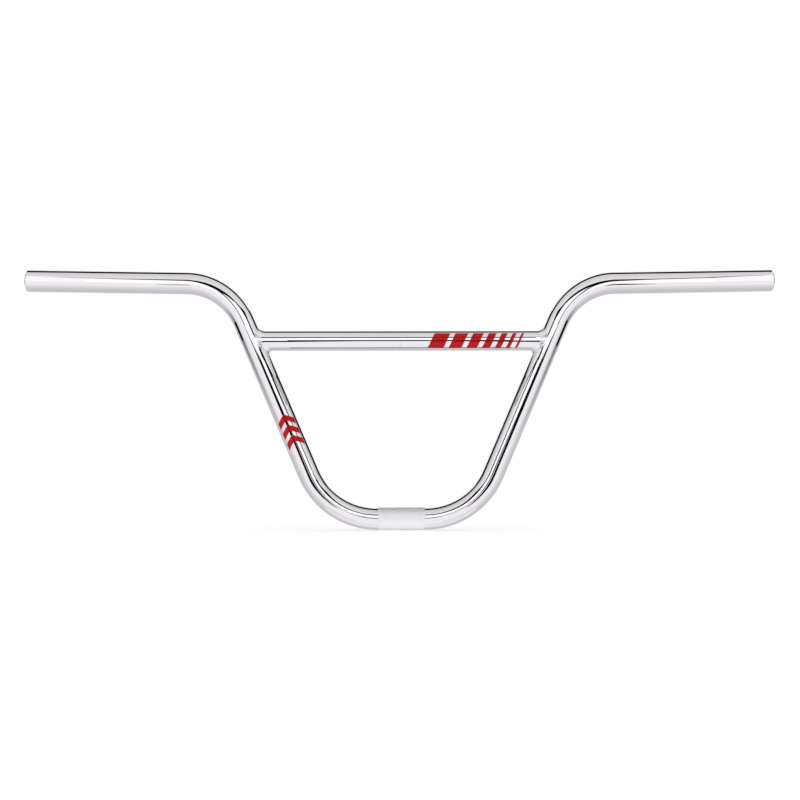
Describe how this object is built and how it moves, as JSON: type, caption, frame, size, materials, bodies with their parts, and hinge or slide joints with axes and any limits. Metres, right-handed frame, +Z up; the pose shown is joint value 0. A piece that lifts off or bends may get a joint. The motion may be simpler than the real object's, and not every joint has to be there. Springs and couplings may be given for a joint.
{
  "type": "bmx handlebar",
  "caption": "Chromed steel BMX handlebar: bent main tube with swept-back grips, welded crossbar between its legs and a knurled stem clamp band.",
  "frame": {"origin": "middle of the knurled stem clamp band, on the main tube's axis", "axes": "+X along the clamp axis to the viewer's right in the front view, +Y back to the rider, +Z up towards the grips"},
  "size_m": [0.762, 0.0621, 0.2636],
  "materials": {
    "chrome_plated_steel": "polished",
    "red_vinyl": "gloss"
  },
  "bodies": {
    "root": {"main_tube": "chrome_plated_steel", "crossbar": "chrome_plated_steel", "weld_left": "chrome_plated_steel", "weld_right": "chrome_plated_steel"}
  },
  "joints": []
}
